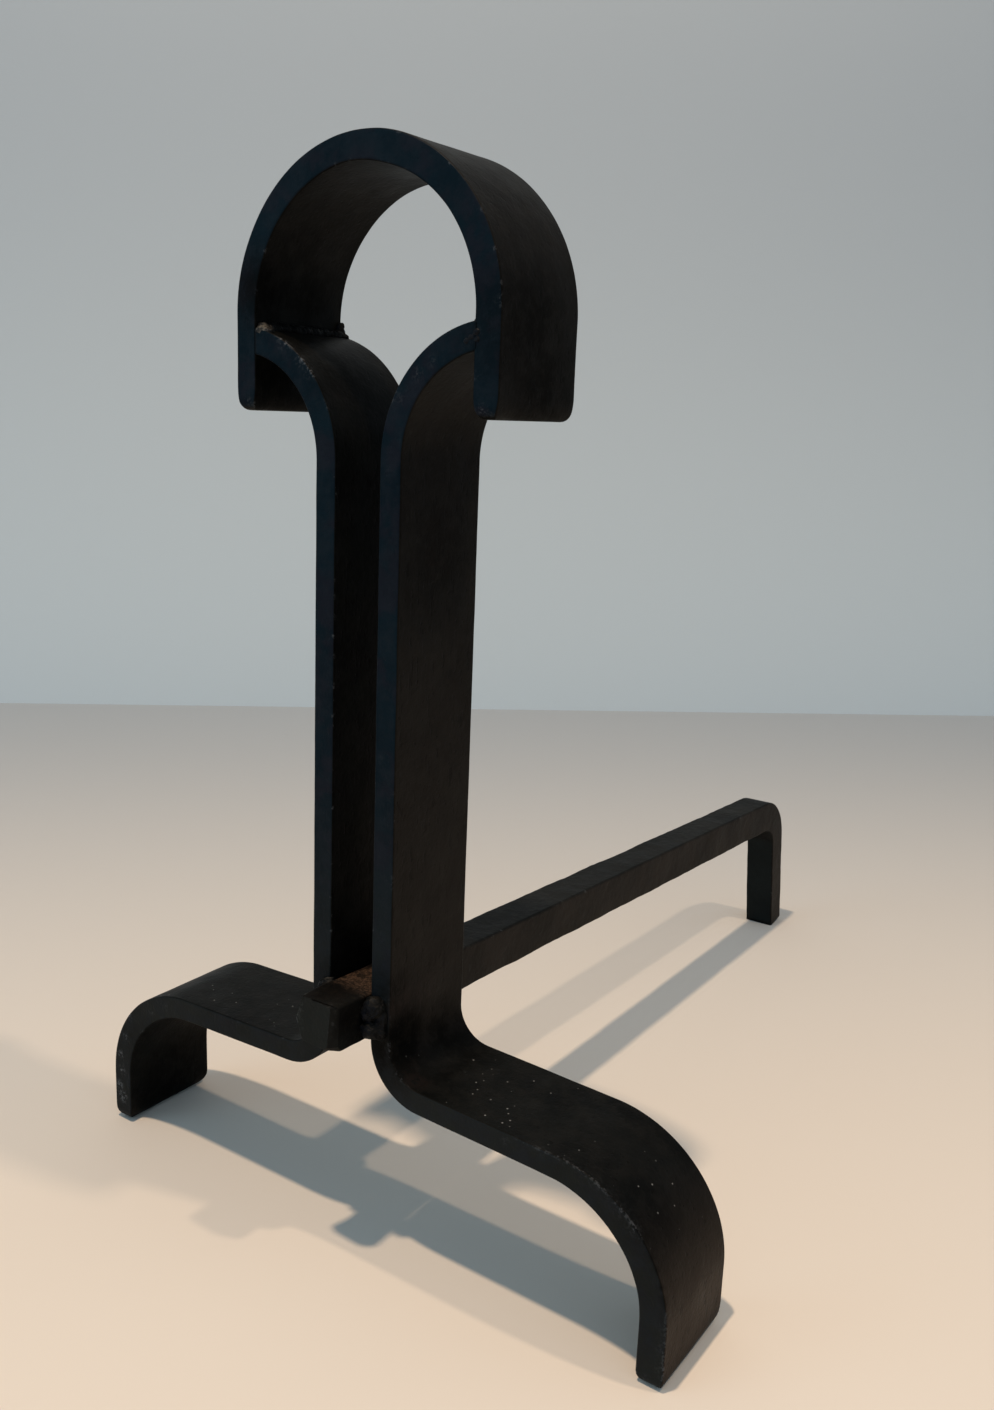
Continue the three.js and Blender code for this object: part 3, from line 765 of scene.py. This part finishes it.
# ---- Materials ----
class Nodes:
    """Short calls for the nodes that a material is made of."""

    def __init__(self, name):
        self.material = bpy.data.materials.new(name)
        self.material.use_nodes = True
        self.tree = self.material.node_tree
        self.shader = self.tree.nodes["Principled BSDF"]
        self.place = self.new("ShaderNodeTexCoord").outputs["Object"]

    def new(self, kind, **values):
        node = self.tree.nodes.new(kind)
        for key, value in values.items():
            setattr(node, key, value)
        return node

    def put(self, socket, value):
        if isinstance(value, bpy.types.NodeSocket):
            self.tree.links.new(value, socket)
        else:
            socket.default_value = value

    def scaled(self, scale, offset=(0, 0, 0)):
        node = self.new("ShaderNodeMapping")
        self.put(node.inputs["Vector"], self.place)
        node.inputs["Scale"].default_value = scale
        node.inputs["Location"].default_value = offset
        return node.outputs["Vector"]

    def noise(self, scale, detail=3.0, rough=0.55, vector=None):
        node = self.new("ShaderNodeTexNoise")
        self.put(node.inputs["Vector"], vector or self.place)
        node.inputs["Scale"].default_value = scale
        node.inputs["Detail"].default_value = detail
        node.inputs["Roughness"].default_value = rough
        return node.outputs["Fac"]

    def cells(self, scale):
        node = self.new("ShaderNodeTexVoronoi")
        self.put(node.inputs["Vector"], self.place)
        node.inputs["Scale"].default_value = scale
        return node.outputs["Distance"], node.outputs["Color"]

    def math(self, operation, a, b=0.0, clamp=False):
        node = self.new("ShaderNodeMath", operation=operation, use_clamp=clamp)
        self.put(node.inputs[0], a)
        self.put(node.inputs[1], b)
        return node.outputs[0]

    def ramp(self, value, low, high, start=0.0, end=1.0):
        node = self.new("ShaderNodeMapRange", interpolation_type="SMOOTHSTEP")
        self.put(node.inputs["Value"], value)
        node.inputs["From Min"].default_value = low
        node.inputs["From Max"].default_value = high
        node.inputs["To Min"].default_value = start
        node.inputs["To Max"].default_value = end
        return node.outputs["Result"]

    def mix(self, share, a, b):
        node = self.new("ShaderNodeMix", data_type="RGBA")
        self.put(node.inputs[0], share)
        for socket, value in ((node.inputs[6], a), (node.inputs[7], b)):
            self.put(socket, (*value, 1.0) if isinstance(value, tuple) else value)
        return node.outputs[2]

    def attribute(self, name):
        node = self.new("ShaderNodeAttribute", attribute_name=name)
        return node.outputs["Fac"]

    def dot(self, vector, direction):
        node = self.new("ShaderNodeVectorMath", operation="DOT_PRODUCT")
        self.put(node.inputs[0], vector)
        node.inputs[1].default_value = direction
        return node.outputs["Value"]

    def facing(self, direction):
        """How far the surface faces a direction of the scene."""
        return self.dot(self.new("ShaderNodeNewGeometry").outputs["Normal"], direction)

    def along(self, axis):
        node = self.new("ShaderNodeSeparateXYZ")
        self.put(node.inputs[0], self.place)
        return node.outputs[axis]

    def bump(self, height, distance, strength=1.0, under=None):
        node = self.new("ShaderNodeBump")
        self.put(node.inputs["Height"], height)
        node.inputs["Distance"].default_value = distance
        node.inputs["Strength"].default_value = strength
        if under is not None:
            self.put(node.inputs["Normal"], under)
        return node.outputs["Normal"]


def wear_and_highlight_to(m, paint, bare, spread):
    """Wears the paint through to bare along the edges, most where the bar was knocked, and paints
    highlights along some edges in the same pale colour.
    """
    edge = m.attribute("edge")
    worn_and_highlight = m.attribute("worn_and_highlight")
    chips = m.ramp(m.noise(260, 3.0, 0.7), 0.58, 0.66)
    patches = m.ramp(m.noise(30, 2.0, 0.5), 0.5, 0.66)
    thin = m.math("MULTIPLY", m.math("MULTIPLY", edge, chips), m.math("MULTIPLY", patches, 0.5))
    near_edge = m.math("ADD", edge, m.math("MULTIPLY", worn_and_highlight, spread), True)
    flakes = m.ramp(m.noise(760, 3.0, 0.7), 0.48, 0.6)
    knocked_and_highlight = m.math("MULTIPLY", m.math("MULTIPLY", worn_and_highlight, near_edge), flakes, True)
    share = m.math("MULTIPLY", m.math("ADD", thin, knocked_and_highlight, True), 0.6)
    return m.mix(share, paint, bare)


def dust(m):
    """Fine specks of pale dust on the low faces that look up."""
    distance, tint = m.cells(300)
    specks = m.math("MULTIPLY", m.ramp(distance, 0.08, 0.14, 1.0, 0.0), m.ramp(tint, 0.5, 0.55))
    up = m.ramp(m.facing((0, 0, 1)), 0.4, 0.7)
    lying = m.math("MULTIPLY", up, m.ramp(m.noise(22), 0.5, 0.56))
    low = m.ramp(m.along("Z"), 0.085, 0.1, 1.0, 0.0)
    return m.math("MULTIPLY", m.math("MULTIPLY", specks, lying), m.math("MULTIPLY", low, 0.7))


def black_paint():
    """The flat bars: black paint. The upper front faces carry a painted reflection of cool light.
    The right side carries painted warm light and a painted reflection of the floor.
    """
    m = Nodes("satin_black_paint")
    cloud = m.ramp(m.noise(24, 4.0, 0.6), 0.34, 0.66)
    mottle = m.ramp(m.noise(130, 4.0, 0.7), 0.4, 0.66)
    runs = m.ramp(m.noise(1.0, 3.0, 0.6, m.scaled((330, 330, 95))), 0.56, 0.66)
    dots = m.ramp(m.noise(480, 2.0, 0.5), 0.62, 0.7)
    scratch = m.ramp(m.noise(1.0, 2.0, 0.6, m.scaled((700, 700, 70), (3, 5, 2))), 0.66, 0.72)
    wide = m.mix(cloud, (0.0012, 0.0014, 0.0013), (0.0042, 0.0046, 0.0041))
    wide = m.mix(m.math("MULTIPLY", mottle, 0.45), wide, (0.0092, 0.0086, 0.0074))
    side = m.math("MULTIPLY", m.ramp(m.facing((1, 0, 0)), 0.6, 0.95),
                  m.ramp(m.along("X"), 0.012, 0.018))
    # The faces that look right are painted browner, more so low down: a painted warm light.
    brown = m.math("MULTIPLY", side, m.ramp(m.along("Z"), 0.03, 0.45, 0.55, 0.25))
    wide = m.mix(brown, wide, (0.0125, 0.0092, 0.0068))
    # A painted reflection of the floor: the right-facing faces are painted paler near the floor.
    floor_reflection = m.math("MULTIPLY", side, m.ramp(m.along("Z"), 0.015, 0.055, 0.8, 0.0))
    wide = m.mix(floor_reflection, wide, (0.026, 0.0175, 0.0125))
    upright = m.ramp(m.math("ABSOLUTE", m.facing((0, 0, 1))), 0.05, 0.4, 1.0, 0.0)
    runs = m.math("MULTIPLY", m.math("MULTIPLY", runs, upright), 0.55)
    marks = m.math("ADD", runs, m.math("MULTIPLY", dots, 0.55), True)
    wide = m.mix(marks, wide, (0.0010, 0.0008, 0.0006))
    wide = m.mix(m.math("MULTIPLY", scratch, 0.16), wide, (0.026, 0.025, 0.023))
    # The front faces are painted bluer, most on their upper part: a painted reflection of cool
    # light.
    high = m.ramp(m.along("Z"), 0.08, 0.22)
    low_front = m.mix(cloud, (0.0080, 0.0100, 0.0100), (0.0120, 0.0145, 0.0140))
    high_front = m.mix(cloud, (0.0008, 0.0058, 0.0108), (0.0018, 0.0090, 0.0152))
    front = m.mix(high, low_front, high_front)
    lavender = m.ramp(m.noise(75, 3.0, 0.6), 0.45, 0.62, 0.0, 0.7)
    front = m.mix(m.math("MULTIPLY", lavender, m.ramp(high, 0.0, 1.0, 0.35, 1.0)), front,
                  (0.0075, 0.0085, 0.0145))
    front = m.mix(m.math("MULTIPLY", mottle, 0.35), front, (0.0105, 0.0150, 0.0210))
    paint = m.mix(m.ramp(m.facing((0, -1, 0)), 0.6, 0.9), wide, front)
    # Dark with soot, and with painted shade in recesses and on faces turned from the lamps.
    dark = m.math("MULTIPLY", m.attribute("soot_and_shade"), m.ramp(mottle, 0.0, 1.0, 1.0, 0.6))
    red = m.math("MULTIPLY", m.attribute("red"), m.ramp(m.noise(210, 4.0, 0.7), 0.4, 0.6))
    paint = m.mix(red, paint, (0.017, 0.0108, 0.0088))
    paint = m.mix(dark, paint, (0.0005, 0.0006, 0.0003))
    paint = wear_and_highlight_to(m, paint, (0.14, 0.15, 0.16), 0.55)
    m.put(m.shader.inputs["Base Color"], m.mix(dust(m), paint, (0.26, 0.26, 0.25)))
    rough = m.math("ADD", m.math("MULTIPLY", m.noise(55, 4.0, 0.6), 0.24), 0.34)
    m.put(m.shader.inputs["Roughness"], m.math("ADD", rough, m.math("MULTIPLY", dark, 0.25)))
    m.shader.inputs["Specular IOR Level"].default_value = 0.05
    slow = m.bump(m.noise(70, 3.0, 0.5), 0.0008, 0.6)
    slow = m.bump(m.math("MULTIPLY", marks, -1.0), 0.00015, 0.5, slow)
    m.put(m.shader.inputs["Normal"], m.bump(m.noise(600, 3.0, 0.6), 0.0002, 0.7, slow))
    return m.material


def scaled_bar():
    """The log bar: worn paint over mill scale, with rust on top between the uprights, and painted
    warm light on its right side from the uprights back.
    """
    m = Nodes("worn_paint_over_scale")
    cloud = m.ramp(m.noise(40, 5.0, 0.65), 0.35, 0.65)
    pits = m.noise(420, 4.0, 0.7)
    paint = m.mix(cloud, (0.0020, 0.0023, 0.0022), (0.0068, 0.0072, 0.0066))
    # The right side, from the uprights back, is painted browner: a painted warm light.
    side = m.math("MULTIPLY", m.ramp(m.facing((1, 0, 0)), 0.6, 0.95),
                  m.ramp(m.along("Y"), -0.175, -0.16, 0.0, 0.7))
    paint = m.mix(side, paint, m.mix(cloud, (0.0090, 0.0070, 0.0052), (0.022, 0.0165, 0.0125)))
    paint = m.mix(m.ramp(pits, 0.55, 0.7), paint, (0.015, 0.014, 0.012))
    front = m.ramp(m.facing((0, -1, 0)), 0.93, 0.98)
    paint = m.mix(front, paint, m.mix(cloud, (0.0060, 0.0082, 0.0080), (0.0090, 0.0118, 0.0115)))
    # Dark with soot, and with painted shade on the bar's right side by the nose, away from the
    # lamps.
    soot_and_shade_share = m.math("MULTIPLY", m.attribute("soot_and_shade"), m.math("SUBTRACT", 1.0, front))
    paint = m.mix(soot_and_shade_share, paint, m.mix(m.ramp(pits, 0.45, 0.65), (0.0005, 0.0004, 0.0002),
                                      (0.0020, 0.0016, 0.0008)))
    brown = m.mix(m.ramp(m.noise(900, 4.0, 0.8), 0.40, 0.62), (0.014, 0.0095, 0.0062),
                  (0.078, 0.047, 0.030))
    rust = m.mix(m.ramp(m.noise(240, 5.0, 0.8, m.scaled((1, 1, 1), (7, 1, 4))), 0.48, 0.60), brown,
                 (0.010, 0.0070, 0.0046))
    share = m.math("MULTIPLY", m.attribute("rust"), m.ramp(m.noise(90, 3.0, 0.6), 0.3, 0.45))
    paint = m.mix(share, paint, rust)
    m.put(m.shader.inputs["Base Color"], wear_and_highlight_to(m, paint, (0.15, 0.16, 0.16), 0.1))
    rough = m.math("ADD", m.math("MULTIPLY", m.noise(80, 4.0, 0.6), 0.25), 0.42)
    rough = m.math("ADD", rough, m.math("MULTIPLY", soot_and_shade_share, 0.3))
    m.put(m.shader.inputs["Roughness"], m.math("ADD", rough, m.math("MULTIPLY", share, 0.3), True))
    m.shader.inputs["Specular IOR Level"].default_value = 0.07
    slow = m.bump(m.noise(120, 4.0, 0.6), 0.0008, 0.6)
    m.put(m.shader.inputs["Normal"], m.bump(pits, 0.0003, 0.7, slow))
    return m.material


def weld_metal():
    """The beads: painted weld metal, with slag left bare in places, and a painted reflection of
    cool light on the faces that look forward.
    """
    m = Nodes("painted_weld_metal")
    cloud = m.ramp(m.noise(160, 4.0, 0.65), 0.35, 0.7)
    paint = m.mix(cloud, (0.0016, 0.0020, 0.0020), (0.0062, 0.0062, 0.0060))
    # The faces that look forward are painted bluer: a painted reflection of cool light.
    front = m.ramp(m.facing((0, -1, 0)), 0.5, 0.95)
    paint = m.mix(front, paint, m.mix(cloud, (0.0024, 0.0034, 0.0052), (0.0062, 0.0078, 0.0115)))
    speckle = m.ramp(m.noise(420, 4.0, 0.75), 0.42, 0.6, 0.12, 1.0)
    slag = m.math("MULTIPLY", m.attribute("tan"), speckle)
    paint = m.mix(slag, paint, (0.140, 0.125, 0.100))
    m.put(m.shader.inputs["Base Color"], paint)
    m.put(m.shader.inputs["Roughness"], m.ramp(m.noise(300), 0.3, 0.7, 0.38, 0.75))
    m.shader.inputs["Specular IOR Level"].default_value = 0.09
    m.put(m.shader.inputs["Normal"], m.bump(m.noise(500, 4.0, 0.7), 0.0004, 0.7))
    return m.material


flat_finish = black_paint()
bar_finish = scaled_bar()
bead_finish = weld_metal()

for body, node, finish, slot in (
    (arch, "arch", flat_finish, "flat_bar"),
    (right_upright, "right_upright", flat_finish, "flat_bar"),
    (left_upright, "left_upright", flat_finish, "flat_bar"),
    (log_bar, "log_bar", bar_finish, "square_bar"),
):
    body.data.materials.append(finish)
    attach(body, "root")
    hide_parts(node)

for node, balls, seed, grain in BEADS:
    bead = make_bead(node.replace("weld", "bead"), balls, seed, grain)
    bead.data.materials.append(bead_finish)
    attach(bead, "root")
    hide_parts(node)


# ---- Floor, backdrop and light ----
# The line where the floor meets the wall, at the photograph's left and right edges, in pixels.
WALL_LINE = (703, 716)
REACH, WALL_HEIGHT = 6.0, 4.0
# Each goes from its first colour to its second. The floor is painted darker and greyer towards the
# wall, a painted falloff of the lamps' light. The backdrop goes from its foot to its top.
FLOOR_COLORS = (0.78, 0.70, 0.60), (0.41, 0.43, 0.44)
WALL_COLORS = (0.59, 0.66, 0.69), (0.375, 0.43, 0.475)
FLOOR_FADE, WALL_FADE = 1.3, 0.75  # and over what length


def make_plane(name, corners, colors, axis, first, last):
    """A plane whose colour goes from one to another between two places along axis."""
    mesh = bpy.data.meshes.new(name)
    mesh.from_pydata(corners, [], [(0, 1, 2, 3)])
    body = bpy.data.objects.new(name, mesh)
    bpy.context.scene.collection.objects.link(body)
    m = Nodes(name)
    share = m.ramp(m.dot(m.place, axis), first, last)
    m.put(m.shader.inputs["Base Color"], m.mix(share, *colors))
    m.shader.inputs["Roughness"].default_value = 0.9
    m.shader.inputs["Specular IOR Level"].default_value = 0.1
    # From its back the plane is clear, so that it hides the object from no side.
    one_sided = m.new("ShaderNodeMixShader")
    m.put(one_sided.inputs[0], m.new("ShaderNodeNewGeometry").outputs["Backfacing"])
    m.put(one_sided.inputs[1], m.shader.outputs[0])
    m.put(one_sided.inputs[2], m.new("ShaderNodeBsdfTransparent").outputs[0])
    m.put(m.tree.nodes["Material Output"].inputs["Surface"], one_sided.outputs[0])
    body.data.materials.append(m.material)


def make_stage():
    left = on_plane(0, WALL_LINE[0], 2, 0.0)
    right = on_plane(PHOTO_WIDTH, WALL_LINE[1], 2, 0.0)
    along = (right - left).normalized()
    toward = Vector((along.y, -along.x, 0.0))
    middle = (left + right) / 2
    a, b = middle - along * REACH, middle + along * REACH
    far, up = toward * REACH, Vector((0, 0, WALL_HEIGHT))
    wall = middle.dot(-toward)
    make_plane("floor", [b - far, a - far, a + far, b + far], FLOOR_COLORS, -toward,
               wall - FLOOR_FADE, wall)
    make_plane("backdrop", [a, b, b + up, a + up], WALL_COLORS, (0, 0, 1), 0.0, WALL_FADE)


WARM, SKY = (1.0, 0.76, 0.55), (0.45, 0.78, 1.0)
# Place, what it is aimed at, the side of its square, power and colour.
LAMPS = (
    ("main", (-0.07, -0.58, 2.0), (0, 0, 0.1), 0.07, 24.5, WARM),
    ("second", (0.85, 0.0, 2.0), (0, 0, 0.1), 0.07, 9.8, WARM),
    ("window", (-1.3, -1.9, 0.9), (0, 0, 0.2), 1.0, 5, SKY),
)
WORLD_LIGHT = (0.334, 0.435, 0.53, 1.0)
WORLD_SEEN = (0.38, 0.42, 0.45, 1.0)


def area_light(name, at, target, size, power, color):
    data = bpy.data.lights.new(name, "AREA")
    data.shape = "RECTANGLE"
    data.size = data.size_y = size
    data.energy = power
    data.color = color
    light = bpy.data.objects.new(name, data)
    light.location = at
    light.rotation_mode = "QUATERNION"
    light.rotation_quaternion = (Vector(target) - Vector(at)).to_track_quat("-Z", "Y")
    bpy.context.scene.collection.objects.link(light)


def make_world():
    """The camera and reflections see a plain pale grey; the light itself is a little blue."""
    world = bpy.data.worlds.new("studio")
    bpy.context.scene.world = world
    world.use_nodes = True
    nodes, links = world.node_tree.nodes, world.node_tree.links
    path = nodes.new("ShaderNodeLightPath")
    seen = path.outputs["Is Camera Ray"]
    for kind in ("Is Glossy Ray", "Is Transmission Ray"):
        either = nodes.new("ShaderNodeMath")
        either.operation = "MAXIMUM"
        links.new(seen, either.inputs[0])
        links.new(path.outputs[kind], either.inputs[1])
        seen = either.outputs[0]
    blend = nodes.new("ShaderNodeMix")
    blend.data_type = "RGBA"
    links.new(seen, blend.inputs[0])
    blend.inputs[6].default_value = WORLD_LIGHT
    blend.inputs[7].default_value = WORLD_SEEN
    background = nodes["Background"]
    background.inputs["Strength"].default_value = 1.0
    links.new(blend.outputs[2], background.inputs["Color"])


make_stage()
make_world()
for lamp in LAMPS:
    area_light(*lamp)
bpy.context.scene.view_settings.view_transform = "Standard"
